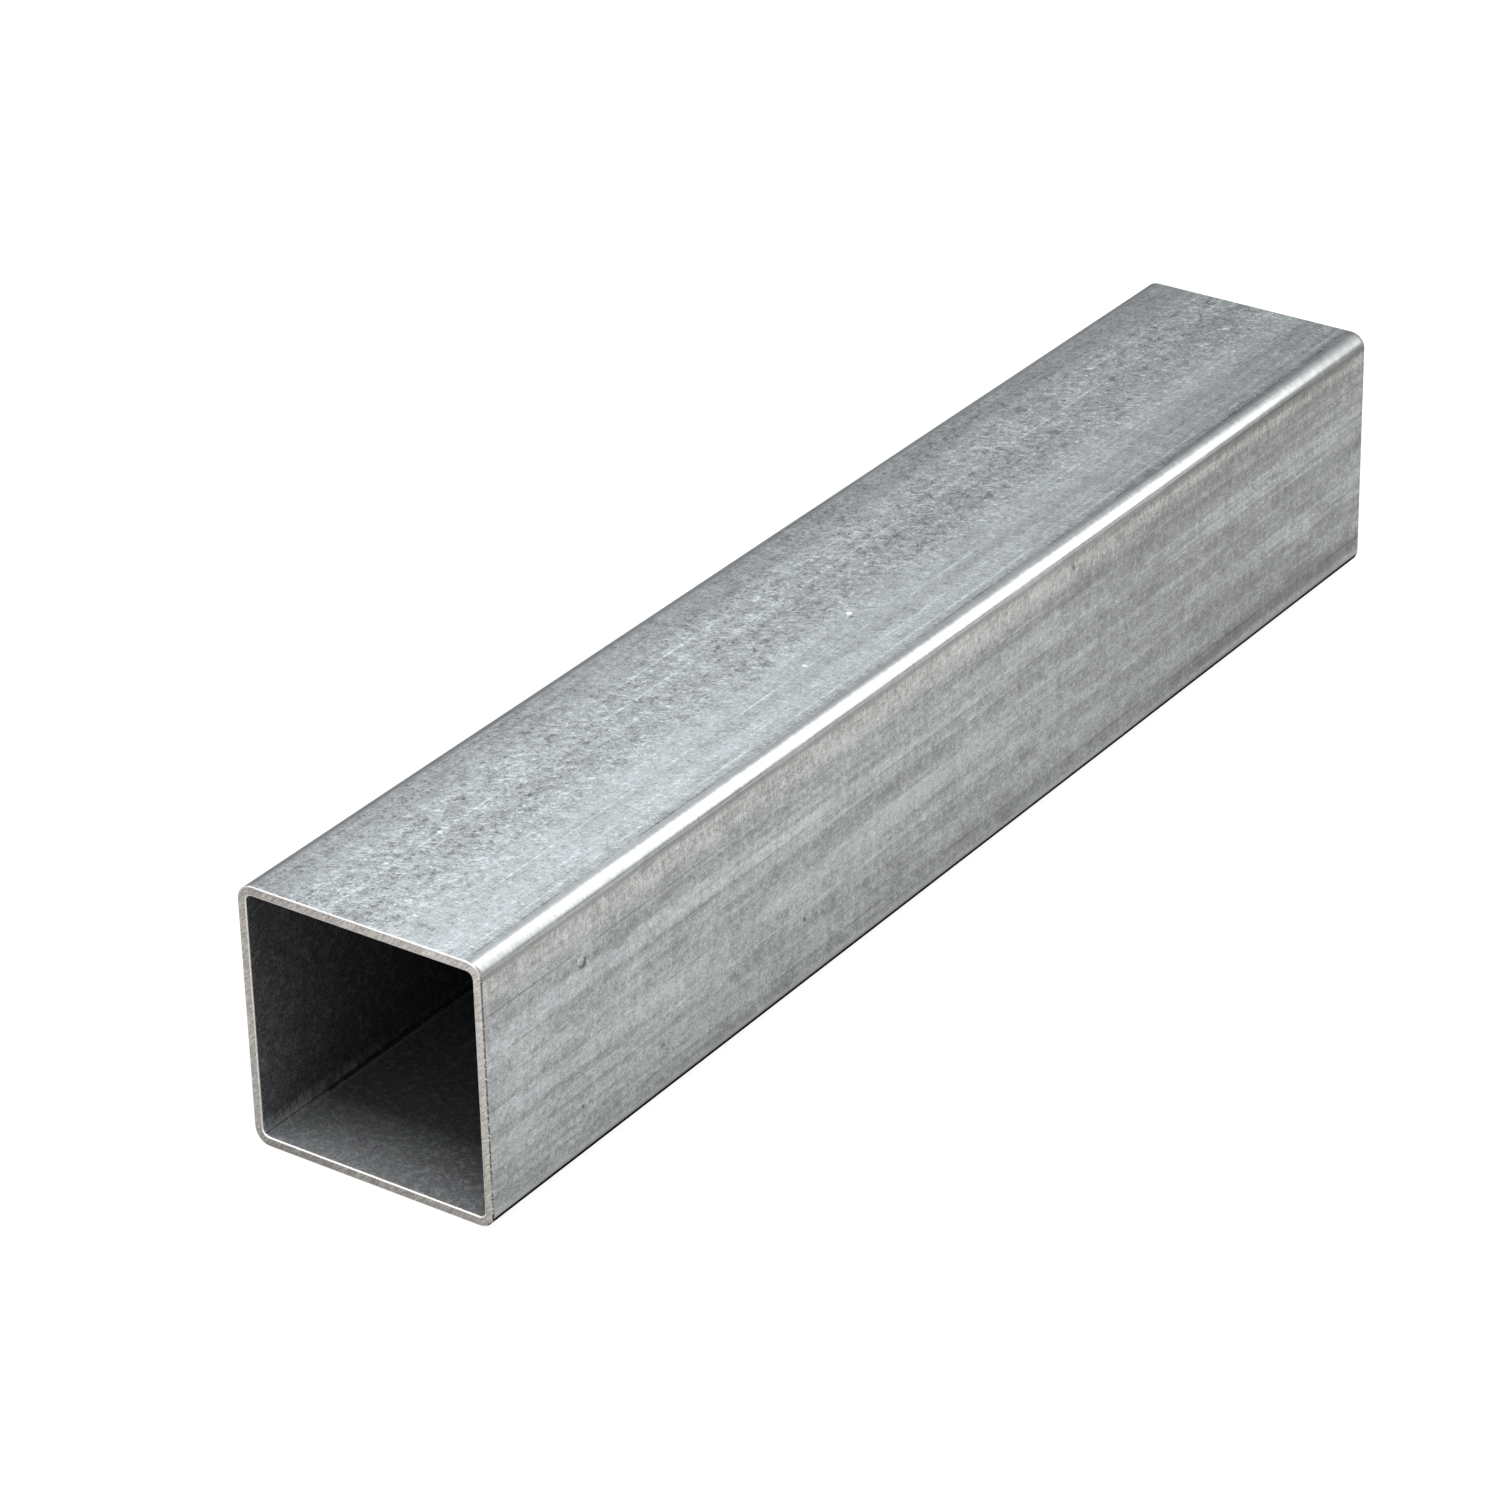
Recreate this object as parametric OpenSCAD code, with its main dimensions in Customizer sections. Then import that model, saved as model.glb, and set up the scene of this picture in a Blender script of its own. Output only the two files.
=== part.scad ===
// Square post: one length of cold-formed, zinc-coated square steel tube, lying on one of its flats.
// X runs along the post, and the origin is at the middle of its footprint on the floor.

/* [Section] */
// Outside width and height of the square section, flat to flat
section_w = 70; // [30:1:150]
// Thickness of the steel wall
wall_t = 2.5; // [1:0.1:6]
// Inside radius of the four long bends
bend_inner_r = 1.8; // [0.5:0.1:8]

/* [Length] */
// Length between the two sawn ends
post_l = 400; // [100:1:6000]
// Width of the small bevel where a sawn end's edges were broken with a file
edge_break = 0.3; // [0.1:0.05:0.45]

/* [Hidden] */
// Bends are coaxial inside and outside, so the outside radius grows with the wall
bend_outer_r = bend_inner_r + wall_t;
hollow_w = section_w - 2 * wall_t;
// Length of the part of the post that lies between the two broken edges
plain_l = post_l - 2 * edge_break;
// How far the hollow's cutter runs past each sawn end
cut_past = 1;
$fn = 64;

// One quarter turn at a long edge: round along the bar, and stepping out over each end's lead
module bar_corner(radius, plain, lead, step) {
    half = plain / 2;
    tip = half + lead;
    rotate_extrude(angle = 90)
        polygon([
            [0, -tip],
            [radius + step, -tip],
            [radius, -half],
            [radius, half],
            [radius + step, tip],
            [0, tip]
        ]);
}

// Slab across the bar between two pairs of corners, with the same leads at its ends
module bar_slab(width, depth, plain, lead, step) {
    half = plain / 2;
    tip = half + lead;
    side = width / 2;
    rotate([90, 0, 0])
        linear_extrude(height = depth, center = true)
            polygon([
                [-side - step, -tip],
                [side + step, -tip],
                [side, -half],
                [side, half],
                [side + step, tip],
                [-side - step, tip],
                [-side, half],
                [-side, -half]
            ]);
}

// Square bar standing on Z with four round long edges. Over the lead at each end every side
// moves out by the step, or in where the step is negative.
module round_cornered_bar(width, radius, plain, lead, step) {
    centre = width / 2 - radius;
    bar_slab(width, 2 * centre, plain, lead, step);
    rotate([0, 0, 90])
        bar_slab(width, 2 * centre, plain, lead, step);
    for (turn = [0 : 90 : 270])
        rotate([0, 0, turn])
            translate([centre, centre, 0])
                bar_corner(radius, plain, lead, step);
}

// The steel outside: both ends narrow by the broken edge
module outside() {
    round_cornered_bar(section_w, bend_outer_r, plain_l, edge_break, -edge_break);
}

// The hollow: both mouths widen by the broken edge and run on past the sawn ends
module hollow() {
    flare = edge_break + cut_past;
    round_cornered_bar(hollow_w, bend_inner_r, plain_l, flare, flare);
}

// The whole post, laid down along X with its lower flat on the floor
module post() {
    color("#a9afb1")
        translate([0, 0, section_w / 2])
            rotate([0, 90, 0])
                difference() {
                    outside();
                    hollow();
                }
}

post();
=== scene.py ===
# %% [markdown]
# # A square post of zinc-coated steel
#
# The object is one length of cold-formed square tube. It lies on a flat, with a sawn end towards
# the camera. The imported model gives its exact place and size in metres, X along the post and Z up,
# and this script gives it its looks: the mottled zinc coat, the burnished bends, the dull inside
# and the bare sawn ends.

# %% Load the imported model
import math
from types import SimpleNamespace

import bmesh
import bpy
from mathutils import Matrix, Quaternion, Vector, noise


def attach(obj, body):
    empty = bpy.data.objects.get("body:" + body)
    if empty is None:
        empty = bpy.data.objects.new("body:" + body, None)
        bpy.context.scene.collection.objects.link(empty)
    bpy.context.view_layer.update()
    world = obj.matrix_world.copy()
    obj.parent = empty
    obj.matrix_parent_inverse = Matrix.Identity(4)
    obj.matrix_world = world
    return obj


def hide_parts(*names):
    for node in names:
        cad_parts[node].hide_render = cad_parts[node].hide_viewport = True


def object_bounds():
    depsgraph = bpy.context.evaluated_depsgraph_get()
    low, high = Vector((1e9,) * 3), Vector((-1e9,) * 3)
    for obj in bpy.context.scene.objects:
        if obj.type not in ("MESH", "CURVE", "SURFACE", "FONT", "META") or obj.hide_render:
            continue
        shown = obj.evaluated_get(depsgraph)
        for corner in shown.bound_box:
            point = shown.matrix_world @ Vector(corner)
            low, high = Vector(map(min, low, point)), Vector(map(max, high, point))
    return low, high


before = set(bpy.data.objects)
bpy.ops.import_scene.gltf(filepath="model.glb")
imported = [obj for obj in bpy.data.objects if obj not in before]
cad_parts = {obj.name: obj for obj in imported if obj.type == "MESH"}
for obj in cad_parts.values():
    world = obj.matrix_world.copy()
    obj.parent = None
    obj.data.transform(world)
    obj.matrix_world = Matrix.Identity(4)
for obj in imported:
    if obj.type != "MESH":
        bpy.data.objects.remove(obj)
cad_low, cad_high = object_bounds()
print("packed box, mm:", [round(1000 * side, 2) for side in cad_high - cad_low])

# %% [markdown]
# ## The sizes of a rolled tube
#
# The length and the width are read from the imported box. The wall and the bend radius can't be read
# from a box, so they are given here in metres. The inside and outside bends share a centre, because
# the strip keeps its thickness as the rolls fold it.

# %% Name the driving sizes
MM = 0.001
LENGTH = cad_high.x - cad_low.x
WIDTH = cad_high.z - cad_low.z
WALL = 2.5 * MM
BEND_INSIDE = 1.8 * MM
BEND_OUTSIDE = BEND_INSIDE + WALL
EDGE_BREAK = 0.3 * MM
HALF = WIDTH / 2
HALF_LENGTH = LENGTH / 2
FLAT = HALF - BEND_OUTSIDE
print("flat between bends, mm:", round(2 * FLAT / MM, 2))

# %% [markdown]
# ## Stretching a cube into a tube
#
# A rolled section is a cube stretched along X with its two ends taken off. Bevelling its four long
# edges gives the bends, as the rolls do. Solidify then gives the sleeve its wall on the inside, so
# that the inside bends share their centres with the outside ones, and it closes the sawn rings.

# %% Make the sleeve and its wall
BEND_STEPS = 8
ENDWAYS = 0.5

post_mesh = bmesh.new()
bmesh.ops.create_cube(post_mesh, size=1.0)
bmesh.ops.scale(post_mesh, vec=(LENGTH, WIDTH, WIDTH), verts=post_mesh.verts)
bmesh.ops.translate(post_mesh, vec=(0, 0, HALF), verts=post_mesh.verts)
open_ends = [face for face in post_mesh.faces if abs(face.normal.x) > ENDWAYS]
bmesh.ops.delete(post_mesh, geom=open_ends, context="FACES_ONLY")
bmesh.ops.bevel(
    post_mesh,
    geom=[edge for edge in post_mesh.edges if not edge.is_boundary],
    offset=BEND_OUTSIDE,
    offset_type="OFFSET",
    segments=BEND_STEPS,
    profile=0.5,
    affect="EDGES",
    material=-1,
)
bmesh.ops.recalc_face_normals(post_mesh, faces=post_mesh.faces)
bmesh.ops.solidify(post_mesh, geom=post_mesh.faces[:], thickness=WALL)
post_mesh.normal_update()
print("steel, mm3:", round(post_mesh.calc_volume() / MM**3))

# %% [markdown]
# ## Cutting strips and breaking the sawn edges
#
# The flats are to get small dents, and only points can be moved, so they are cut into strips first.
# Then a small bevel with a rounded profile breaks the edges of both sawn ends, because a file leaves
# no edge perfectly sharp and that narrow round is what catches the light.

# %% Cut the flats into strips and break the sawn edges
STRIPS_PER_FLAT = 24
EDGE_STEPS = 2


def span(edge, axis):
    """How far an edge reaches along an axis, from 0 for X to 2 for Z."""
    first, second = (vert.co for vert in edge.verts)
    return abs(first[axis] - second[axis])


def cut(mesh, edges, pieces):
    """Cuts edges into a number of equal pieces, and the faces between them with them."""
    bmesh.ops.subdivide_edges(mesh, edges=edges, cuts=pieces - 1, use_grid_fill=True)


def at_rim(edge):
    """Whether an edge lies between a sawn ring and one of the long faces."""
    first, second = (abs(face.normal.x) for face in edge.link_faces)
    return abs(first - second) > ENDWAYS


across = [edge for edge in post_mesh.edges if max(span(edge, 1), span(edge, 2)) > FLAT]
cut(post_mesh, across, STRIPS_PER_FLAT)
post_mesh.normal_update()
bmesh.ops.bevel(
    post_mesh,
    geom=[edge for edge in post_mesh.edges if at_rim(edge)],
    offset=EDGE_BREAK,
    offset_type="OFFSET",
    segments=EDGE_STEPS,
    profile=0.5,
    affect="EDGES",
    material=-1,
)
print("faces after the strips:", len(post_mesh.faces))

# %% [markdown]
# ## Cutting the length into rings
#
# The rings lie a millimetre apart at the two mouths, where one can look in and see small forms, and
# further apart between them. A cut through the whole tube at each mouth's depth first parts the long
# edges there, and then each part is cut into its own number of equal pieces.

# %% Cut the length into rings
MOUTH_DEPTH = 60 * MM
MOUTH_RING = 1.0 * MM
MIDDLE_RING = 3.5 * MM
MIDDLE_REACH = 2 * (HALF_LENGTH - MOUTH_DEPTH)
ON_PLANE = 0.01 * MM

for side in (-1, 1):
    bmesh.ops.bisect_plane(
        post_mesh,
        geom=post_mesh.verts[:] + post_mesh.edges[:] + post_mesh.faces[:],
        dist=ON_PLANE,
        plane_co=(side * MIDDLE_REACH / 2, 0, 0),
        plane_no=(1, 0, 0),
    )
for reach, ring in ((MIDDLE_REACH, MIDDLE_RING), (MOUTH_DEPTH, MOUTH_RING)):
    along = [edge for edge in post_mesh.edges if abs(span(edge, 0) - reach) < MM]
    cut(post_mesh, along, round(reach / ring))
post_mesh.normal_update()
print("faces of the post:", len(post_mesh.faces))

# %% [markdown]
# ## Which faces are what
#
# One piece of steel shows four finishes: the zinc coat outside, the dull coat inside, the bare ring
# that the saw left and its filed edges. Each face's place says which of them it has.

# %% Sort the faces by finish
ZINC, INSIDE, SAWN, FILED = range(4)
SQUARE_ON = 0.98

for face in post_mesh.faces:
    middle = face.calc_center_median()
    off_axis = max(abs(middle.y), abs(middle.z - HALF))
    if abs(face.normal.x) > SQUARE_ON:
        face.material_index = SAWN
    elif abs(middle.x) > HALF_LENGTH - EDGE_BREAK:
        face.material_index = FILED
    elif off_axis < HALF - WALL / 2:
        face.material_index = INSIDE
    else:
        face.material_index = ZINC
    face.smooth = True
for kind, finish in ((ZINC, "zinc"), (INSIDE, "inside"), (SAWN, "sawn"), (FILED, "filed")):
    print(finish, "faces:", sum(face.material_index == kind for face in post_mesh.faces))

# %% [markdown]
# ## Marks of the rolls as real form
#
# No rolled flat is a perfect plane. It dips and rises by a few hundredths of a millimetre over a
# hand's breadth, which bends reflections and little else, so every outside point goes in by a slow
# noise. Inside, one lower bend carries the weld that closed the strip: a low band of ripples across
# the bend, which the scarfing tool left. Points only ever go into the steel, so the post never
# grows past its packed size.

# %% Dent the flats and ripple the weld
DENT = 0.06 * MM
DENT_LENGTH = 45 * MM
SMALL_DENT = 0.4
SMALL_DENT_LENGTH = 0.35 * DENT_LENGTH
RIPPLE = 0.16 * MM
RIPPLE_PITCH = 3.1 * MM
RIPPLE_WANDER = 0.6
WANDER_LENGTH = 8 * MM
WELD_BEND = Vector((0, FLAT, HALF - FLAT))


def weld_closeness(place):
    """1 on the inside bend that carries the weld, falling to 0 within the bend's width."""
    from_bend = Vector((0, place.y - WELD_BEND.y, place.z - WELD_BEND.z)).length
    return max(0.0, 1.0 - max(0.0, from_bend - BEND_INSIDE) / BEND_INSIDE)


bodies = {ZINC: [], INSIDE: []}
for vert in post_mesh.verts:
    kinds = {face.material_index for face in vert.link_faces}
    if len(kinds) == 1 and kinds & bodies.keys():
        bodies[kinds.pop()].append(vert)

post_mesh.normal_update()
moves = {}
for vert in bodies[ZINC]:
    slow = noise.noise(vert.co / DENT_LENGTH) + SMALL_DENT * noise.noise(vert.co / SMALL_DENT_LENGTH)
    moves[vert] = -DENT * max(0.0, min(1.0, 0.5 + 0.5 * slow))
for vert in bodies[INSIDE]:
    wander = RIPPLE_WANDER * noise.noise(vert.co / WANDER_LENGTH)
    ridge = 0.5 + 0.5 * math.sin(2 * math.pi * (vert.co.x / RIPPLE_PITCH + wander))
    moves[vert] = -RIPPLE * ridge * weld_closeness(vert.co)
for vert, depth in moves.items():
    vert.co += depth * vert.normal
print("points moved:", len(moves), "deepest, mm:", round(-min(moves.values()) / MM, 3))

# %% [markdown]
# ## The mesh becomes an object
#
# The object sits at the origin, unturned and unscaled, so a point of its mesh has the same place
# in the object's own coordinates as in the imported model. The finishes below rely on that.

# %% Make the post's object
post_mesh.normal_update()
post_data = bpy.data.meshes.new("square_post")
post_mesh.to_mesh(post_data)
post_mesh.free()
post = bpy.data.objects.new("square_post", post_data)
bpy.context.scene.collection.objects.link(post)
print("post:", post.name, "with", len(post_data.vertices), "points")

# %% [markdown]
# ## One helper for nodes and one for colours
#
# Every finish below is a small tree of nodes. The helper adds a node, sets its settings and input
# values, and links its inputs. Colours are written as the sRGB hex that a person reads off a
# sample, and turned to the linear values that a shader works in.

# %% Helpers for materials


def linear(hex_colour):
    """The linear RGBA of an sRGB hex colour."""
    channels = [int(hex_colour[i : i + 2], 16) / 255 for i in (1, 3, 5)]
    return [c / 12.92 if c <= 0.04045 else ((c + 0.055) / 1.055) ** 2.4 for c in channels] + [1.0]


def add(tree, kind, settings=None, values=None, links=None, stops=None, points=None):
    """Adds a node with its settings, input values and links, a ramp's stops or a curve's points."""
    node = tree.nodes.new(kind)
    for name, value in (settings or {}).items():
        setattr(node, name, value)
    for name, value in (values or {}).items():
        node.inputs[name].default_value = value
    for name, source in (links or {}).items():
        tree.links.new(source, node.inputs[name])
    for index, (place, colour) in enumerate(stops or ()):
        elements = node.color_ramp.elements
        element = elements[index] if index < 2 else elements.new(place)
        element.position = place
        element.color = linear(colour)
    for index, (place, height) in enumerate(points or ()):
        curve = node.mapping.curves[0]
        point = curve.points[index] if index < 2 else curve.points.new(place, height)
        point.location = (place, height)
    if points:
        node.mapping.update()
    return node


def new_finish(name):
    """A material with only its output, and its tree."""
    material = bpy.data.materials.new(name)
    material.use_nodes = True
    tree = material.node_tree
    tree.nodes.clear()
    return material, tree, tree.nodes.new("ShaderNodeOutputMaterial")


# %% [markdown]
# ## Masks with soft edges
#
# A mask is 1 where a mark is and 0 elsewhere. Nothing on rolled steel ends in a hard line, so each
# edge of a mask is a fade: the value at which the mask leaves 0 and the one at which it reaches 1.
# A mask with a fade at both of its edges is a band. Masks multiplied give their overlap, and a
# pattern multiplied by a mask shows only there.

# %% Helpers for masks


def overlap(tree, *patterns):
    """Patterns or masks multiplied, so that each shows only where the others do."""
    total = patterns[0]
    for pattern in patterns[1:]:
        total = add(
            tree, "ShaderNodeMath", settings={"operation": "MULTIPLY"}, links={0: total, 1: pattern}
        ).outputs[0]
    return total


def within(tree, value, *fades):
    """1 inside a zone of a value and 0 outside, with a smooth fade, as (0 here, 1 here), at each edge."""
    edges = [
        add(
            tree,
            "ShaderNodeMapRange",
            settings={"interpolation_type": "SMOOTHSTEP"},
            values={"From Min": outside, "From Max": inside},
            links={"Value": value},
        ).outputs[0]
        for outside, inside in fades
    ]
    return overlap(tree, *edges)


def beside(tree, value, middle):
    """How far a value is from a middle, to either side."""
    offset = add(
        tree, "ShaderNodeMath", settings={"operation": "SUBTRACT"}, values={1: middle}, links={0: value}
    )
    return add(
        tree, "ShaderNodeMath", settings={"operation": "ABSOLUTE"}, links={0: offset.outputs[0]}
    ).outputs[0]


# %% [markdown]
# ## Patterns at their real size
#
# A noise texture has lumps one unit wide, so a mapping that divides by a size in metres gives lumps
# of that size. Lumps that are long in X and narrow across it look drawn out, as all marks of a
# rolling mill do. A seed reads another part of the noise, so that two patterns don't share their
# lumps. A tone is then a middle grey with some of each pattern added.

# %% Helpers for patterns
NOISE_MIDDLE = 0.5


def lumps(tree, place, size, detail=2.0, distortion=0.0, seed=0.0):
    """Noise whose lumps have a size along, across and up the post in mm. Its middle is 0.5."""
    squeeze = add(
        tree,
        "ShaderNodeMapping",
        values={"Location": (seed, seed, seed), "Scale": [1 / (side * MM) for side in size]},
        links={"Vector": place},
    )
    pattern = add(
        tree,
        "ShaderNodeTexNoise",
        values={"Scale": 1.0, "Detail": detail, "Distortion": distortion},
        links={"Vector": squeeze.outputs[0]},
    )
    return pattern.outputs[0]


def weigh(tree, level, parts, middle=NOISE_MIDDLE):
    """A level plus weighted patterns. Each counts from a middle: 0.5 for noise, and 0 for most masks."""
    shift = middle * sum(weight for _, weight in parts)
    if isinstance(level, float):
        total = level - shift
    else:
        total = add(
            tree, "ShaderNodeMath", settings={"operation": "SUBTRACT"}, values={1: shift}, links={0: level}
        ).outputs[0]
    for pattern, weight in parts:
        step = add(
            tree,
            "ShaderNodeMath",
            settings={"operation": "MULTIPLY_ADD"},
            values={1: weight},
            links={0: pattern},
        )
        if isinstance(total, float):
            step.inputs[2].default_value = total
        else:
            tree.links.new(total, step.inputs[2])
        total = step.outputs[0]
    return total


def strokes(tree, place, size, seed, width=0.08):
    """1 along short curling lines and 0 between them, as where small crystals of zinc meet."""
    waves = lumps(tree, place, size, detail=0.5, distortion=0.5, seed=seed)
    lines = within(tree, beside(tree, waves, NOISE_MIDDLE), (width, 0.0))
    gaps = lumps(tree, place, [1.6 * side for side in size], seed=seed + 5.0)
    return overlap(tree, lines, within(tree, gaps, (0.44, 0.58)))


# %% [markdown]
# ## Where a point lies on the section
#
# Several marks follow the section: bands across a flat, and burnish on a bend. A point's Object
# coordinates say it all. Across the post it is y, up it is z, and the smaller of the two distances
# from the post's axis grows past the flat's half width only on a bend.

# %% Read a point's place on the section


def read_place(tree):
    """The Object coordinates of a point, whole and as x, y and z."""
    whole = add(tree, "ShaderNodeTexCoord").outputs["Object"]
    x, y, z = add(tree, "ShaderNodeSeparateXYZ", links={0: whole}).outputs
    return SimpleNamespace(whole=whole, x=x, y=y, z=z)


def round_a_bend(tree, at):
    """The smaller of a point's distances from the post's axis, across and up."""
    across = beside(tree, at.y, 0.0)
    up = beside(tree, at.z, HALF)
    return add(
        tree, "ShaderNodeMath", settings={"operation": "MINIMUM"}, links={0: across, 1: up}
    ).outputs[0]


# %% [markdown]
# ## What the rolls leave on the zinc
#
# The coat is zinc from a hot bath on strip steel, and the strip is then rolled into a tube. Each
# pair of rolls bears on some parts of a flat and not on others, so the flats have lengthwise bands
# of tone, and thin light or dark lines where the edge of a roll ran. A band could be a stretched
# noise, but bands sit where the rolls sat, so a curve gives the tone at each distance across the
# top (-35 to 35 mm) and up the sides (0 to 70 mm). Two parts of these curves are painted shade and
# no marks of the rolls: the dark fall over the sides' lowest 3 mm, for the dark gap under the post,
# and the dark fall over the top's last 5 mm towards the back bend. The lines are a short list of
# places, each with a half width in millimetres and a tone, and a long noise breaks them here and there.

# %% The bands and lines that the rolls leave, and painted shade in the bands
# Painted shade: from 30 mm on, the top's tone falls dark towards the back bend.
TOP_BANDS = (
    (-35, -0.22), (-31, -0.25), (-28, -0.13), (-24, -0.09), (-19, -0.14), (-10, -0.12), (-3, -0.18),
    (5, -0.22), (13, -0.19), (20, -0.22), (25, -0.28), (30, -0.28), (33, -0.49), (35, -0.63),
)
# Painted shade: from 0 to 3 mm, the sides' tone falls nearly black, for the dark gap under the post.
SIDE_BANDS = (
    (0, -0.80), (2.5, -0.65), (3.0, -0.30), (3.6, 0.08), (4.3, 0.18), (6, 0.04), (8.8, 0.00), (9.2, 0.08),
    (13, 0.10), (24, 0.13), (34, 0.15), (39, 0.11), (46, 0.16), (57, 0.06), (61, 0.16), (63.8, 0.21),
    (65.4, 0.06), (67, -0.03), (70, -0.02),
)
TOP_LINES = (
    (16.8, 0.30, 0.16), (9.7, 0.35, 0.18), (3.4, 0.20, 0.06), (-8.0, 0.20, 0.08), (-16.0, 0.30, 0.16),
    (-22.8, 0.25, 0.12), (-24.2, 0.20, 0.08), (-26.4, 0.20, -0.12), (-27.8, 0.30, 0.16),
    (-30.3, 0.35, -0.18), (26.5, 0.20, -0.08), (29.5, 0.25, -0.10),
)
SIDE_LINES = (
    (67.5, 0.25, -0.28), (66.7, 0.25, -0.30), (65.6, 0.30, 0.08), (64.4, 0.20, -0.08), (56.1, 0.30, -0.18),
    (47.2, 0.80, 0.06), (44.4, 0.35, -0.15), (43.0, 1.00, -0.05), (40.6, 0.30, -0.12), (36.0, 0.25, -0.06),
    (31.4, 0.30, -0.11), (24.7, 0.30, -0.14), (22.8, 0.45, 0.10), (14.5, 0.25, -0.06), (9.0, 0.35, -0.18),
    (4.9, 0.30, -0.08),
)
LINE_CORE = 0.3


def bands(tree, value, start, table):
    """The tone, above 0.5 or below it, that a table of mm and tones gives across the section."""
    share = add(
        tree,
        "ShaderNodeMapRange",
        values={"From Min": start, "From Max": start + WIDTH},
        links={"Value": value},
    )
    curve = add(
        tree,
        "ShaderNodeFloatCurve",
        links={"Value": share.outputs[0]},
        points=[((mm * MM - start) / WIDTH, 0.5 + tone) for mm, tone in table],
    )
    return curve.outputs[0]


def roll_lines(tree, place, across, table):
    """The tone of thin lengthwise lines, broken here and there, from their table."""
    broken = within(tree, lumps(tree, place, (22, 2.5, 2.5), seed=23.0), (0.38, 0.60))
    parts = []
    for middle, half_width, tone in table:
        off_line = beside(tree, across, middle * MM)
        parts.append((within(tree, off_line, (half_width * MM, LINE_CORE * half_width * MM)), tone))
    return overlap(tree, weigh(tree, 0.0, parts, middle=0.0), broken)


def roll_marks_and_painted_shade(tree, at, on_top):
    """The tones of the bands, painted shade included, and of the lines, each from the sides' table and, on
    top, the top's.
    """
    kinds = (
        (bands(tree, at.z, 0.0, SIDE_BANDS), bands(tree, at.y, -HALF, TOP_BANDS)),
        (roll_lines(tree, at.whole, at.z, SIDE_LINES), roll_lines(tree, at.whole, at.y, TOP_LINES)),
    )
    return [add(tree, "ShaderNodeMix", links={0: on_top, 2: side, 3: top}).outputs[0] for side, top in kinds]


# %% [markdown]
# ## Pits, chips and painted glints
#
# A post that has been handled has a few small pits and bright chips in its zinc. They are about a
# millimetre wide, and too few for a noise. So each is a small disc of tone round a place on the
# surface, given in millimetres with its radius. The bright chips on top are painted glints, light
# that such chips catch. The largest is three discs: a dark pit, a light lip of painted light that
# leaves only a crescent of it dark, and a faint smear beside them.

# %% Pits, chips and painted glints
# Painted light: the bright discs on top, at z 70, are glints, and the largest pit's light lip is light on its
# rim.
PITS_AND_GLINTS = (
    (-162.9, -35, 52.4, 1.9, -0.42), (-163.4, -35, 53.0, 1.45, 0.42), (-161.0, -35, 51.8, 0.9, 0.14),
    (-165, -35, 15, 0.6, -0.40), (-74, -35, 20, 0.8, -0.35), (49, -35, 63, 0.8, -0.35),
    (-20, 4, 70, 0.7, -0.30), (120, 12, 70, 0.8, -0.30), (-14, -8.5, 70, 1.0, 0.40),
    (-15.5, -10, 70, 0.8, -0.25), (-43, -15, 70, 0.9, 0.28),
)
PIT_CORE = 0.55


def pits_and_glints(tree, place):
    """The tone of the pits, chips and painted glints, each a disc with a soft edge round its core."""
    parts = []
    for x, y, z, radius, tone in PITS_AND_GLINTS:
        away = add(
            tree,
            "ShaderNodeVectorMath",
            settings={"operation": "DISTANCE"},
            values={1: (x * MM, y * MM, z * MM)},
            links={0: place},
        ).outputs["Value"]
        parts.append((within(tree, away, (radius * MM, PIT_CORE * radius * MM)), tone))
    return weigh(tree, 0.0, parts, middle=0.0)


# %% [markdown]
# ## Where the zinc coat changes
#
# The coat isn't the same all round the post. The bends are ironed smooth. Along the middle of the
# top runs a lane in which the rolls have hardly touched the crystals, and beside it they are
# pressed. Just below the upper bends runs a paler strip. The foot has painted shade: the lower bends
# would mirror the dark gap under the post, so the foot is drawn nearly black. Towards the far end the
# tones drift a little. Each of these is a zone, and the tone below adds or takes away a little in it.

# %% The zones of the coat


def coat_zones(tree, at):
    """The zones in which the coat looks different, as masks."""
    corner = round_a_bend(tree, at)
    zone = SimpleNamespace()
    zone.on_top = within(tree, at.z, (WIDTH - BEND_OUTSIDE, WIDTH - 0.3 * BEND_OUTSIDE))
    zone.off_top = within(tree, zone.on_top, (1.0, 0.0))
    zone.bend = within(tree, corner, (FLAT + 0.4 * MM, FLAT + 1.5 * MM))
    zone.off_bend = within(tree, corner, (FLAT + 0.8 * MM, FLAT - 0.8 * MM))
    zone.back_bend = overlap(tree, within(tree, at.y, (30.5 * MM, 32.5 * MM)), zone.on_top)
    zone.below_bend = overlap(tree, within(tree, at.z, (57 * MM, 62 * MM)), zone.off_top)
    # Painted shade: the foot, which would mirror the dark gap under the post.
    zone.foot = within(tree, at.z, (3.5 * MM, 2.6 * MM))

    middle_lane = within(tree, at.y, (28 * MM, 14 * MM), (-16 * MM, -2 * MM))
    zone.lane = overlap(tree, middle_lane, zone.on_top)
    zone.beside_lane = overlap(tree, within(tree, middle_lane, (1.0, 0.0)), zone.on_top)

    mid_length = within(tree, beside(tree, at.x, 0.0), (110 * MM, 40 * MM))
    strip = within(tree, at.z, (57.5 * MM, 59 * MM), (62 * MM, 60 * MM))
    zone.mid_strip = overlap(tree, mid_length, strip)
    zone.far_half = within(tree, at.x, (0.0, HALF_LENGTH))
    zone.far_top = overlap(tree, zone.far_half, zone.on_top)
    zone.far_front = overlap(
        tree, zone.far_top, within(tree, at.y, (-12 * MM, -20 * MM), (-34.2 * MM, -32.6 * MM))
    )
    far_end = within(tree, at.x, (HALF_LENGTH - 80 * MM, HALF_LENGTH + 10 * MM))
    zone.far_bend = overlap(tree, far_end, zone.bend)
    return zone


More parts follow.
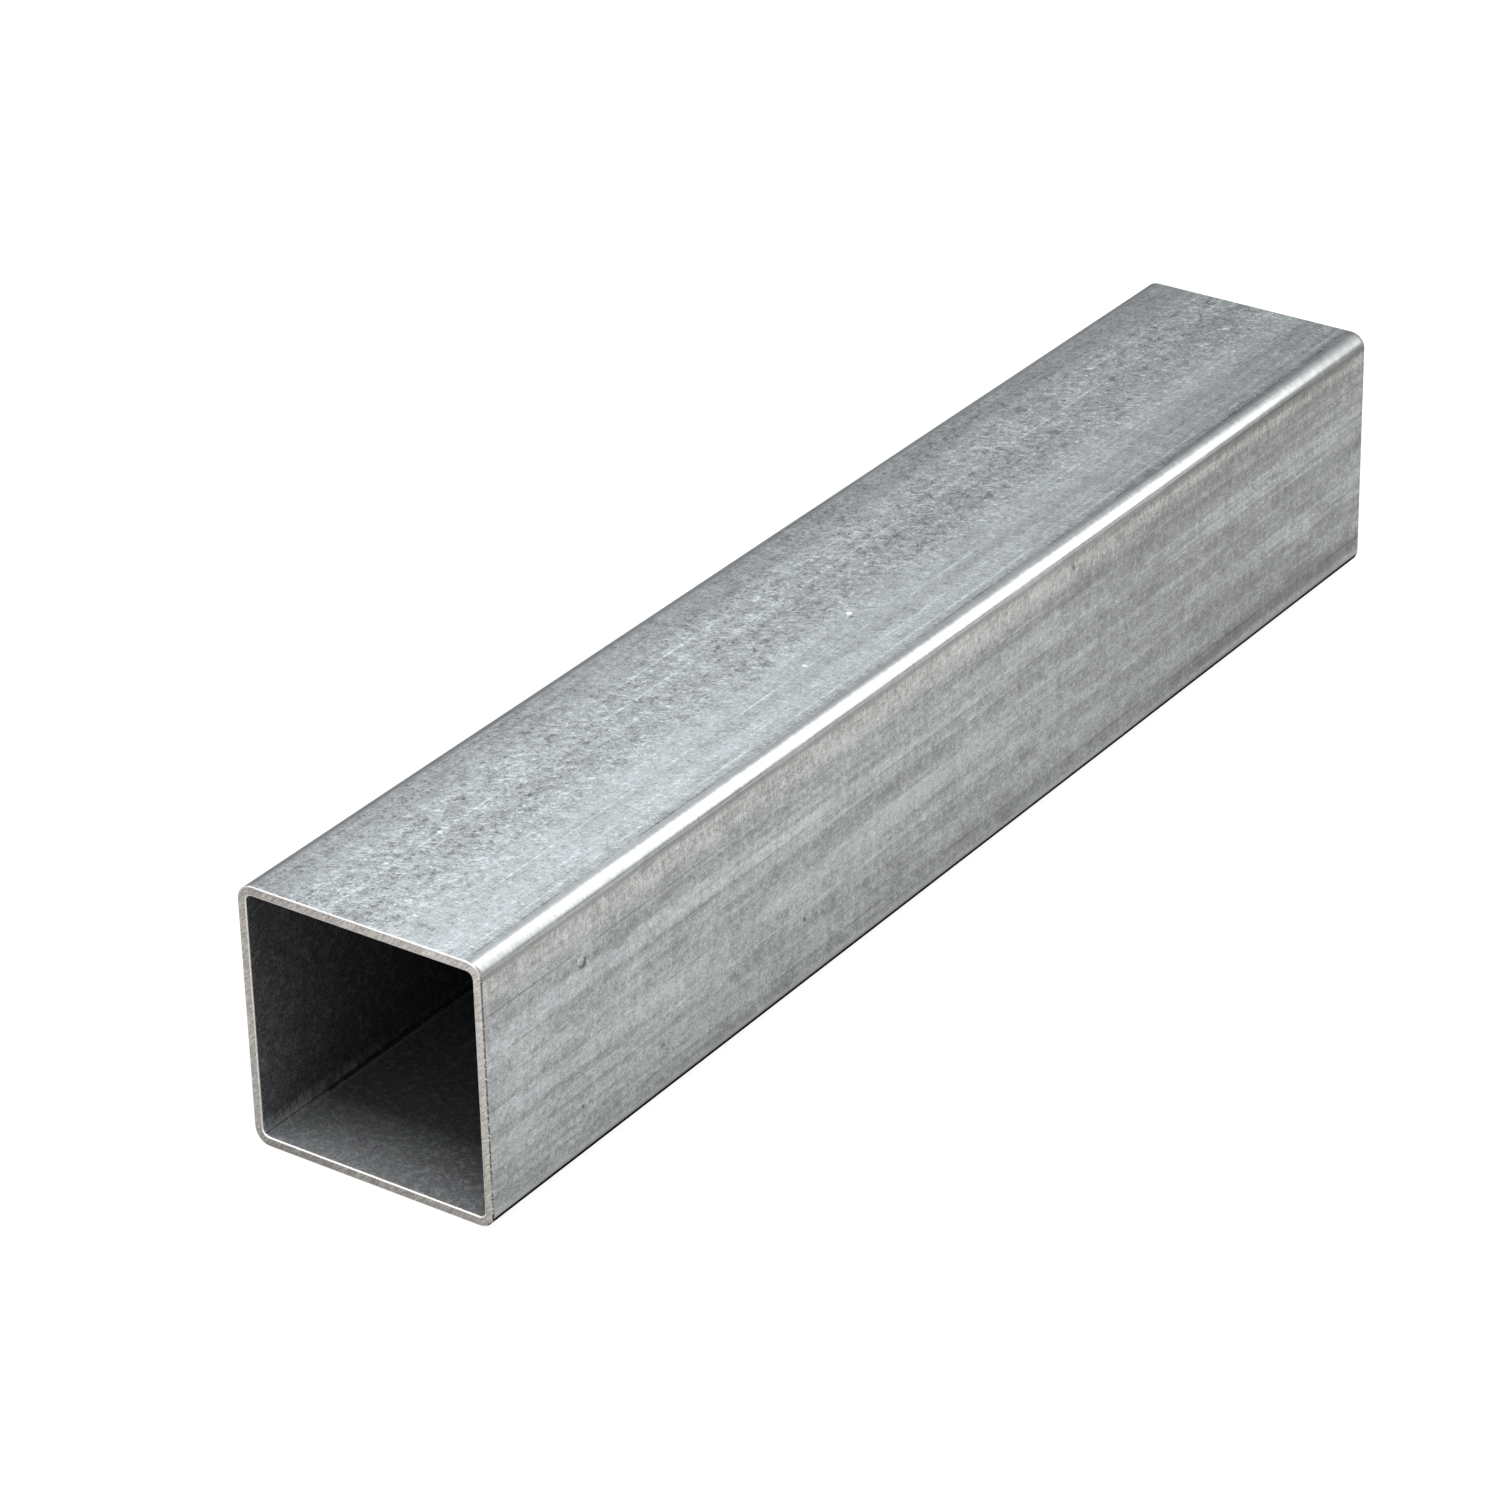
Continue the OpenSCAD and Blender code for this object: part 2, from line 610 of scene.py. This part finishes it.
# %% [markdown]
# ## What zinc is made of to the eye
#
# The bath gives small grey crystals, the rolls press them flat and drag them askew, and storage
# dulls them. That makes a crinkle of about a millimetre, short bright and dark strokes where
# crystals meet, mottle and blotches of a few millimetres, clouds of a centimetre or two, drawn
# streaks and laps along the post, and presses and ticks across it. One noise could be turned and
# stretched to look like all of them, but each has its own size and direction, so each is its own.

# %% The patterns of the coat
DRAG = 61


def zinc_patterns(tree, place):
    """The patterns of the coat, with their sizes in mm along, across and up the post."""
    slanted = add(
        tree, "ShaderNodeMapping", values={"Rotation": (0, 0, math.radians(DRAG))}, links={"Vector": place}
    ).outputs[0]
    zinc = SimpleNamespace()
    zinc.crinkle = lumps(tree, slanted, (1.1, 0.7, 0.7), distortion=1.5)
    zinc.bright_strokes = strokes(tree, slanted, (2.2, 1.1, 1.1), seed=37.0, width=0.14)
    zinc.dark_strokes = strokes(tree, place, (1.6, 1.4, 1.4), seed=53.0)
    zinc.mottle = lumps(tree, place, (3.0, 2.0, 2.0), distortion=0.8, seed=3.1)
    zinc.clouds = lumps(tree, place, (18, 9, 9), detail=3.0, distortion=0.4, seed=7.7)
    zinc.laps = within(tree, lumps(tree, place, (150, 3.4, 3.4), detail=1.5, seed=43.0), (0.46, 0.54))
    zinc.drawn = lumps(tree, place, (110, 1.0, 1.0), detail=2.5, distortion=0.05, seed=11.3)
    zinc.short_laps = lumps(tree, place, (9, 0.8, 0.8), distortion=0.2, seed=41.0)
    zinc.presses = lumps(tree, place, (2.2, 16, 16), distortion=0.2, seed=47.0)
    zinc.ticks = lumps(tree, place, (0.7, 2.6, 2.6), distortion=0.6, seed=61.0)
    zinc.wide_bands = lumps(tree, place, (150, 6, 6), detail=1.0, seed=17.9)
    zinc.blotches = within(tree, lumps(tree, place, (5.0, 3.5, 3.5), detail=3.0, seed=29.0), (0.52, 0.68))
    zinc.specks = within(tree, lumps(tree, place, (1.8, 1.2, 1.2), detail=1.0, seed=31.0), (0.70, 0.80))
    return zinc


# %% [markdown]
# ## One tone for the whole coat
#
# All patterns, marks and zones add up to one tone, so a change of one weight changes one feature.
# On the flats the grain and crystals come first. They stand out most in the lane on top, and there
# are none on the bends. The streaks, bands, lines and pits are added to them, and last the small
# drift of each zone. The ticks show only on the bends and just below the upper ones.

# %% The tone of the coat


def flat_pattern(tree, zinc, zone):
    """The tone of the grain and crystals on the flats: strongest in the lane, and calm beside it."""
    grain = weigh(tree, 0.0, [(zinc.crinkle, 0.72), (zinc.mottle, 0.20), (zinc.clouds, 0.15)])
    top_grain = weigh(tree, 0.0, [(zinc.crinkle, 0.34)])
    side_clouds = weigh(tree, 0.0, [(zinc.clouds, 0.14)])
    crystals = weigh(
        tree,
        0.0,
        [
            (zinc.bright_strokes, 0.18),
            (zinc.dark_strokes, -0.17),
            (zinc.blotches, -0.12),
            (zinc.specks, 0.20),
        ],
        middle=0.0,
    )
    strength = weigh(tree, 0.55, [(zone.lane, 0.42), (zone.beside_lane, -0.13)], middle=0.0)
    calm = weigh(tree, 1.0, [(zone.beside_lane, -0.15)], middle=0.0)
    pattern = weigh(
        tree,
        grain,
        [
            (overlap(tree, crystals, strength), 1.0),
            (overlap(tree, top_grain, zone.on_top), 1.0),
            (overlap(tree, side_clouds, zone.off_top), 1.0),
        ],
        middle=0.0,
    )
    return overlap(tree, pattern, calm, zone.off_bend)


def zinc_tone(tree, at, zinc, zone):
    """The coat's tone, from 0 for dark zinc to 1 for pale: its patterns, marks and zones added up."""
    bands_with_painted_shade, lines = roll_marks_and_painted_shade(tree, at, zone.on_top)
    ticked = weigh(
        tree, 0.0, [(overlap(tree, zone.below_bend, zone.off_bend), 1.0), (zone.bend, 0.6)], middle=0.0
    )
    tone = weigh(
        tree,
        0.5,
        [(zinc.drawn, 0.20), (zinc.presses, 0.14), (zinc.wide_bands, 0.05), (zinc.laps, 0.03), (bands_with_painted_shade, 1.0)],
    )
    return weigh(
        tree,
        tone,
        [
            (flat_pattern(tree, zinc, zone), 1.0),
            (overlap(tree, weigh(tree, 0.0, [(zinc.short_laps, 0.14)]), zone.beside_lane), 1.0),
            (lines, 1.0),
            (overlap(tree, weigh(tree, 0.0, [(zinc.ticks, 0.50)]), ticked), 1.0),
            (pits_and_glints(tree, at.whole), 1.0),
            (zone.bend, 0.27),
            (zone.far_bend, -0.14),
            (overlap(tree, zone.far_half, zone.off_top), -0.08),
            (zone.far_top, 0.09),
            (zone.far_front, -0.11),
            (overlap(tree, zone.far_half, zone.below_bend), -0.08),
            (zone.mid_strip, 0.10),
            (overlap(tree, weigh(tree, 0.0, [(zinc.laps, 0.05)]), zone.off_top), 1.0),
        ],
        middle=0.0,
    )


# %% [markdown]
# ## Rolled zinc coat
#
# Hot-dip zinc on rolled steel is to the eye a soft metal of nearly one colour with much tone in it.
# So a ramp from dark to pale zinc turns the tone to colour, and the metal keeps its colour wherever
# the tone goes. Thin tints follow the zones: the top is a little bluer than the sides, and the foot
# is painted shade, nearly black, in what it mirrors at a slant too. The ironed bends are smoother
# than the flats, so they shine more, and they have less relief.

# %% The zinc coat's material
ZINC_COLOURS = [(0.0, "#3f3f3f"), (1.0, "#c8cacb"), (0.5, "#878888")]
# Painted shade: the foot's dark shine, a painted reflection of the dark gap under the post.
FOOT_PAINTED_SHADE_SHINE = "#2c2c2c"
ZINC_SHINE = "#d0d2d4"
ZINC_RELIEF = 0.15 * MM


def rolled_zinc_coat():
    """Zinc on rolled steel: metal whose colour, gloss and relief follow its patterns and zones."""
    material, tree, output = new_finish("rolled_zinc_coat")
    at = read_place(tree)
    zone = coat_zones(tree, at)
    zinc = zinc_patterns(tree, at.whole)
    tone = zinc_tone(tree, at, zinc, zone)
    colour = add(tree, "ShaderNodeValToRGB", links={0: tone}, stops=ZINC_COLOURS).outputs[0]
    # The foot's near-black tint is painted shade.
    tints = (
        (zone.on_top, "#f5fbff"),
        (zone.back_bend, "#fff8f5"),
        (zone.off_top, "#fbfdff"),
        (zone.below_bend, "#fffdf9"),
        (zone.foot, "#2c2a29"),
    )
    for share, tint in tints:
        colour = add(
            tree,
            "ShaderNodeMix",
            settings={"data_type": "RGBA", "blend_type": "MULTIPLY"},
            values={7: linear(tint)},
            links={0: share, 6: colour},
        ).outputs[2]
    rough = weigh(tree, 0.46, [(zinc.crinkle, 0.10), (zinc.drawn, 0.12)])
    rough = weigh(tree, rough, [(zone.bend, -0.15), (zone.far_bend, 0.08)], middle=0.0)
    bump = add(
        tree,
        "ShaderNodeBump",
        values={"Distance": ZINC_RELIEF},
        links={
            "Height": weigh(tree, 0.5, [(zinc.crinkle, 0.6), (zinc.mottle, 0.3), (zinc.drawn, 0.5)]),
            "Strength": weigh(tree, 0.04, [(zone.off_bend, 0.18)], middle=0.0),
        },
    )
    # The foot's dark shine is a painted reflection of the shade under the post; elsewhere the zinc shines in
    # its own tint.
    shine_with_painted_shade_at_foot = add(
        tree,
        "ShaderNodeMix",
        settings={"data_type": "RGBA"},
        values={6: linear(FOOT_PAINTED_SHADE_SHINE), 7: linear(ZINC_SHINE)},
        links={0: within(tree, at.z, (2.4 * MM, 3.5 * MM))},
    )
    steel = add(
        tree,
        "ShaderNodeBsdfPrincipled",
        values={"Metallic": 1.0},
        links={
            "Base Color": colour,
            "Roughness": rough,
            "Normal": bump.outputs[0],
            "Specular Tint": shine_with_painted_shade_at_foot.outputs[2],
        },
    )
    tree.links.new(steel.outputs["BSDF"], output.inputs["Surface"])
    return material


# %% [markdown]
# ## Dull inside
#
# No roll or hand has polished the inside of the tube, so its coat is a dark dull oxide that scatters
# light more than it mirrors it. Short feathery marks lie all over it. The lower bends hold a thin
# crease where the strip folded, drawn as a dark line of painted shade. The one with the weld has a
# light ragged band above that crease, and below it a soft painted shadow and a thin ridge drawn light
# as a painted highlight. These marks follow the bend, so they are laid out by the climb: the distance
# across from the middle plus the height, which grows from the floor of the tube through the bend and
# up the wall, and equals half the post's width in the middle of the bend. Painted light makes the
# oxide paler on the floor, low down and most of all near the mouth.

# %% The marks along the lower inside bends
MOUTH = -HALF_LENGTH


def weld_marks(tree, at):
    """The marks of the crease and the weld along the lower inside bends, as masks: the crease's dark line and
    the shadow for painted shade, the ridge for a painted highlight.
    """
    across = beside(tree, at.y, 0.0)
    climb = add(tree, "ShaderNodeMath", settings={"operation": "ADD"}, links={0: across, 1: at.z}).outputs[0]
    weld_side = within(tree, at.y, (0.0, 1 * MM))
    inward = within(tree, at.x, (MOUTH + 10 * MM, MOUTH + 30 * MM))
    ripples = lumps(tree, at.whole, (1.3, 5, 5), detail=1.5, distortion=0.8, seed=79.0)
    ragged = weigh(tree, climb, [(ripples, 3.0 * MM)])
    off_crease = beside(tree, climb, HALF)
    off_ridge = beside(tree, climb, HALF - 1.5 * MM)
    mark = SimpleNamespace()
    mark.band = overlap(
        tree,
        within(tree, climb, (HALF, HALF + 0.5 * MM)),
        within(tree, ragged, (HALF + 4.2 * MM, HALF + 3.2 * MM)),
        within(tree, at.x, (MOUTH + 55 * MM, MOUTH + 20 * MM)),
        weld_side,
    )
    mark.pressed = overlap(tree, mark.band, within(tree, ripples, (0.40, 0.62)))
    # Painted shade in the crease and the shadow, and a painted highlight on the ridge.
    mark.crease = within(tree, off_crease, (0.22 * MM, 0.04 * MM))
    mark.shadow = overlap(tree, within(tree, off_crease, (2.0 * MM, 0.3 * MM)), inward, weld_side)
    mark.ridge = overlap(tree, within(tree, off_ridge, (0.7 * MM, 0.1 * MM)), inward, weld_side)
    return mark


# %% The inside's material
OXIDE_COLOURS = [(0.0, "#100f0f"), (1.0, "#8e9193"), (0.5, "#3c3c3d")]
OXIDE_RELIEF = 0.15 * MM


def dull_inside():
    """Dull oxide on zinc: half metal and rough, drawn paler by painted light low down, on the floor and near
    the mouth.
    """
    material, tree, output = new_finish("dull_inside")
    at = read_place(tree)
    mark = weld_marks(tree, at)
    feathers = strokes(tree, at.whole, (1.3, 1.6, 1.6), seed=61.0, width=0.13)
    crinkle = lumps(tree, at.whole, (0.6, 0.6, 0.6), distortion=1.2, seed=67.0)
    mottle = lumps(tree, at.whole, (3.2, 2.6, 2.6), distortion=0.6, seed=71.0)
    clouds = lumps(tree, at.whole, (12, 12, 12), seed=73.0)
    painted_light_low_down = within(tree, at.z, (HALF + 30 * MM, 10 * MM))
    on_floor = within(tree, at.z, (WALL + 3 * MM, WALL + 0.5 * MM))
    painted_light_at_mouth = within(tree, at.x, (MOUTH + 14 * MM, MOUTH + 2 * MM))
    painted_light_mouth_side = overlap(
        tree,
        within(tree, at.x, (MOUTH + 45 * MM, MOUTH + 8 * MM)),
        within(tree, at.y, (-25 * MM, 10 * MM)),
    )
    # Painted light: the floor, the low walls and the mouth, most of all its side towards the back, are drawn
    # paler; the crease and shadow are painted shade, and the ridge a painted highlight.
    tone = weigh(
        tree,
        weigh(tree, 0.49, [(crinkle, 0.75), (mottle, 0.06), (clouds, 0.05)]),
        [
            (feathers, 0.12),
            (overlap(tree, feathers, on_floor), 0.16),
            (mark.band, 0.06),
            (mark.pressed, 0.34),
            (overlap(tree, on_floor, painted_light_at_mouth), 0.04),
            (painted_light_mouth_side, 0.05),
            (painted_light_low_down, 0.05),
            (on_floor, 0.19),
            (mark.crease, -0.6),
            (mark.shadow, -0.34),
            (mark.ridge, 0.34),
        ],
        middle=0.0,
    )
    coat = add(tree, "ShaderNodeValToRGB", links={0: tone}, stops=OXIDE_COLOURS)
    bump = add(
        tree,
        "ShaderNodeBump",
        values={"Strength": 0.25, "Distance": OXIDE_RELIEF},
        links={
            "Height": weigh(tree, 0.5, [(crinkle, 0.5), (mottle, 0.5), (feathers, 0.5), (mark.pressed, 1.2)])
        },
    )
    oxide = add(
        tree,
        "ShaderNodeBsdfPrincipled",
        values={"Metallic": 0.5, "Roughness": 0.6},
        links={"Base Color": coat.outputs[0], "Normal": bump.outputs[0]},
    )
    tree.links.new(oxide.outputs["BSDF"], output.inputs["Surface"])
    return material


# %% [markdown]
# ## Sawn ends
#
# The saw left bare steel, which is warmer than zinc. Its teeth drew fine lines across the ring at a
# slant, given in degrees, and between them the steel is torn into small light and dark grains.

# %% The sawn rings' material
SAW_LEAN = 45
SAWN_COLOURS = [(0.0, "#4d4a48"), (1.0, "#cbc7c3"), (0.5, "#8b8885")]
SAW_MARK_DEPTH = 0.08 * MM


def sawn_steel():
    """Bare steel with saw lines, drawn a little paler up the ring and towards the front by painted light."""
    material, tree, output = new_finish("sawn_steel")
    at = read_place(tree)
    leaning = add(
        tree,
        "ShaderNodeMapping",
        values={"Rotation": (math.radians(-SAW_LEAN), 0, 0)},
        links={"Vector": at.whole},
    )
    saw_lines = lumps(tree, leaning.outputs[0], (3, 0.35, 2.5), detail=1.0, seed=83.0)
    grain = lumps(tree, at.whole, (0.5, 0.5, 0.5), distortion=0.5, seed=89.0)
    stain = lumps(tree, at.whole, (7, 7, 7), seed=97.0)
    # Painted light: the ring is drawn paler towards the front and up from the floor, as light falls across
    # it.
    painted_light_towards_front = within(tree, at.y, (HALF, -HALF))
    painted_light_off_floor = within(tree, at.z, (0.0, 6 * MM))
    tone = weigh(
        tree,
        0.57,
        [(saw_lines, 0.75), (grain, 0.60), (stain, 0.2), (painted_light_towards_front, 0.18), (painted_light_off_floor, 0.12)],
    )
    bare = add(tree, "ShaderNodeValToRGB", links={0: tone}, stops=SAWN_COLOURS)
    bump = add(
        tree,
        "ShaderNodeBump",
        values={"Strength": 0.5, "Distance": SAW_MARK_DEPTH},
        links={"Height": weigh(tree, 0.5, [(saw_lines, 1.0), (grain, 0.6)])},
    )
    steel = add(
        tree,
        "ShaderNodeBsdfPrincipled",
        values={"Metallic": 1.0, "Roughness": 0.46},
        links={"Base Color": bare.outputs[0], "Normal": bump.outputs[0]},
    )
    tree.links.new(steel.outputs["BSDF"], output.inputs["Surface"])
    return material


# %% [markdown]
# ## Filed edges
#
# A file has run round both rims of each sawn ring, inside and outside. Its narrow bright round
# catches the light, and low down on the inner rim a painted highlight makes it brighter still.
# Along the front side the file has only nicked the burr, which stays dark, as do the rims of the far
# end, and the lowest front corner is drawn dark as painted shade.

# %% The filed edges' material
FILED_COLOURS = [(0.0, "#3a3836"), (1.0, "#f0eeea"), (0.5, "#b5b1ad")]


def filed_edge():
    """Freshly filed steel, dark where the burr is left, with a painted highlight low on the inner rim and
    painted shade at the lowest front corner.
    """
    material, tree, output = new_finish("filed_edge")
    at = read_place(tree)
    grain = lumps(tree, at.whole, (0.6, 0.9, 0.9), seed=101.0)
    nicks = within(tree, lumps(tree, at.whole, (0.5, 0.5, 0.6), detail=1.0, seed=103.0), (0.58, 0.68))
    front = within(tree, at.y, (-HALF + 0.5 * MM, -HALF + 0.25 * MM))
    burr = overlap(tree, front, within(tree, nicks, (1.0, 0.0)))
    painted_highlight_lower_inner = within(tree, at.z, (1.5 * MM, 2.0 * MM), (5.0 * MM, 3.2 * MM))
    far_rim = within(tree, at.x, (0.0, 1 * MM))
    painted_shade_low_corner = overlap(
        tree,
        within(tree, at.y, (-HALF + 2.3 * MM, -HALF + 1.9 * MM)),
        within(tree, at.z, (5.0 * MM, 4.0 * MM)),
    )
    # The lower inner rim is a painted highlight, and the lowest front corner painted shade.
    tone = weigh(
        tree,
        weigh(tree, 0.6, [(grain, 0.5)]),
        [(burr, -0.50), (painted_highlight_lower_inner, 0.45), (far_rim, -0.60), (painted_shade_low_corner, -0.75)],
        middle=0.0,
    )
    bare = add(tree, "ShaderNodeValToRGB", links={0: tone}, stops=FILED_COLOURS)
    steel = add(
        tree,
        "ShaderNodeBsdfPrincipled",
        values={"Metallic": 1.0, "Roughness": 0.42},
        links={"Base Color": bare.outputs[0]},
    )
    tree.links.new(steel.outputs["BSDF"], output.inputs["Surface"])
    return material


# %% [markdown]
# ## One piece, four finishes
#
# The order of the materials is the order of the face numbers above. The post takes the place of the
# imported solid, so that solid is hidden and the post rides on the root body.

# %% Give the post its finishes
for finish in (rolled_zinc_coat, dull_inside, sawn_steel, filed_edge):
    post_data.materials.append(finish())
print("finishes:", [material.name for material in post_data.materials])

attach(post, "root")
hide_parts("post")

# %% [markdown]
# ## The white floor
#
# The post lies on a white floor under a white sky, as stock is shown in a catalogue. A floor could
# be made white by more light, but that would bleach the zinc. So the floor's material asks what kind
# of ray reaches it. The camera sees an almost white glow, with the post's shadow in what little
# paint is added to it. A mirror ray from the metal sees pale paint with a faint warm glow, and other
# rays see plain pale paint.

# %% Floor
FLOOR_SIZE = 6.0
PALE_PAINT = (0.8, 0.8, 0.8, 1)
FLOOR_LOOKS = (
    ("Is Glossy Ray", (1.0, 0.99, 0.975, 1), 0.10, (0.70, 0.70, 0.70, 1)),
    ("Is Camera Ray", (1, 1, 1, 1), 0.93, (0.12, 0.12, 0.12, 1)),
)

floor_mesh = bmesh.new()
bmesh.ops.create_grid(floor_mesh, x_segments=1, y_segments=1, size=FLOOR_SIZE)
floor_data = bpy.data.meshes.new("floor")
floor_mesh.to_mesh(floor_data)
floor_mesh.free()
floor = bpy.data.objects.new("floor", floor_data)
bpy.context.scene.collection.objects.link(floor)

floor_paint, tree, output = new_finish("white_floor")
rays = add(tree, "ShaderNodeLightPath")
surface = add(tree, "ShaderNodeBsdfDiffuse", values={"Color": PALE_PAINT}).outputs[0]
for ray, glow_colour, glow_strength, paint in FLOOR_LOOKS:
    glow = add(tree, "ShaderNodeEmission", values={"Color": glow_colour, "Strength": glow_strength})
    painted = add(tree, "ShaderNodeBsdfDiffuse", values={"Color": paint})
    lit = add(tree, "ShaderNodeAddShader", links={0: glow.outputs[0], 1: painted.outputs[0]})
    surface = add(
        tree, "ShaderNodeMixShader", links={0: rays.outputs[ray], 1: surface, 2: lit.outputs[0]}
    ).outputs[0]
tree.links.new(surface, output.inputs["Surface"])
floor_data.materials.append(floor_paint)
print("floor, m:", tuple(round(side, 2) for side in floor.dimensions))

# %% [markdown]
# ## The white sky
#
# The sky is white to the camera, in mirrors and through glass. As a light it is only about half as
# strong, so the lamps can still model the post.

# %% Sky
SKY_LIGHT = 0.45
SKY_SEEN = 1.0

world = bpy.data.worlds.new("sky")
bpy.context.scene.world = world
world.use_nodes = True
tree = world.node_tree
tree.nodes.clear()
rays = add(tree, "ShaderNodeLightPath")
seen = rays.outputs["Is Camera Ray"]
for ray in ("Is Glossy Ray", "Is Transmission Ray"):
    seen = add(
        tree, "ShaderNodeMath", settings={"operation": "MAXIMUM"}, links={0: seen, 1: rays.outputs[ray]}
    ).outputs[0]
light, white = (
    add(tree, "ShaderNodeBackground", values={"Color": (1, 1, 1, 1), "Strength": strength}).outputs[0]
    for strength in (SKY_LIGHT, SKY_SEEN)
)
mix = add(tree, "ShaderNodeMixShader", links={0: seen, 1: light, 2: white})
add(tree, "ShaderNodeOutputWorld", links={"Surface": mix.outputs[0]})
print("sky:", SKY_LIGHT, "as a light and", SKY_SEEN, "as seen")

# %% [markdown]
# ## Three soft lamps
#
# Metal shows what it mirrors, so each lamp is placed for what it should be seen in. The long panel
# stands on the far right, turned so that its mirror image runs along the upper front bend as one
# white streak. The panel behind lights the top flat. The wide box hangs just off the near end,
# shines down past the mouth and shows the floor of the tube.

# %% Lamps


def add_lamp(name, place, aim, size, power, spin=0.0, colour="#ffffff"):
    """A rectangular area lamp at a place, turned to face a point and then spun on its own axis."""
    data = bpy.data.lights.new(name, "AREA")
    data.shape = "RECTANGLE"
    data.size, data.size_y = size
    data.energy = power
    data.color = linear(colour)[:3]
    lamp = bpy.data.objects.new(name, data)
    bpy.context.scene.collection.objects.link(lamp)
    lamp.location = place
    turn = (Vector(aim) - Vector(place)).to_track_quat("-Z", "Y")
    lamp.rotation_euler = (turn @ Quaternion((0, 0, 1), math.radians(spin))).to_euler()
    lamp.visible_camera = False
    print("lamp:", name, power, "W")


add_lamp("bend_panel", (0.77, -0.45, 0.83), (0, 0, HALF), (0.41, 1.38), 13.1, spin=-25, colour="#fffaf3")
add_lamp("top_panel", (0.30, 0.45, 0.63), (-0.05, 0, HALF), (0.6, 0.35), 4.0)
add_lamp("mouth_box", (-0.29, 0.0, 0.60), (-0.25, 0, 0), (0.60, 0.22), 4.1)

# %% [markdown]
# ## The camera
#
# The camera stands about twenty post widths away with a long lens, so the post's long edges draw
# together only a little. Its direction, distance and lens come from fitting a square tube of this
# size to the outlines that the post should have in a picture 1500 pixels wide, so the lens is known
# as a length in pixels. A camera turns about its own axes, so the script works out where its right,
# its down and its back point. They are the columns of its turn, with down reversed, because the
# second axis of a camera points up.

# %% Camera
PICTURE_SIDE = 1500
FILM_WIDTH = 36
CLIP_END = 50
AZIMUTH, ELEVATION, ROLL = math.radians(-54.56), math.radians(28.58), math.radians(1.44)
DISTANCE = 19.916 * WIDTH
ASIDE, DOWN = -0.376 * WIDTH, 0.158 * WIDTH
FOCAL = 5494.8

back = Vector(
    (
        math.sin(AZIMUTH) * math.cos(ELEVATION),
        -math.cos(AZIMUTH) * math.cos(ELEVATION),
        math.sin(ELEVATION),
    )
)
level_right = (-back).cross(Vector((0, 0, 1))).normalized()
level_down = (-back).cross(level_right)
right = math.cos(ROLL) * level_right + math.sin(ROLL) * level_down
down = -math.sin(ROLL) * level_right + math.cos(ROLL) * level_down
camera_data = bpy.data.cameras.new("camera")
camera_data.sensor_width = FILM_WIDTH
camera_data.lens = FOCAL * FILM_WIDTH / PICTURE_SIDE
camera_data.clip_end = CLIP_END
camera = bpy.data.objects.new("camera", camera_data)
bpy.context.scene.collection.objects.link(camera)
turn = Matrix((right, -down, back)).transposed()
stand = Vector((0, 0, HALF)) + back * DISTANCE + right * ASIDE + down * DOWN
camera.matrix_world = Matrix.Translation(stand) @ turn.to_4x4()
bpy.context.scene.camera = camera
bpy.context.scene.view_settings.view_transform = "Standard"
print("lens, mm:", round(camera_data.lens, 1), "distance, m:", round(DISTANCE, 2))

# %% [markdown]
# ## The last step
#
# The post must fill the same box as the imported solid. The last step brings the scene up to date.

# %% Finish
bpy.context.view_layer.update()
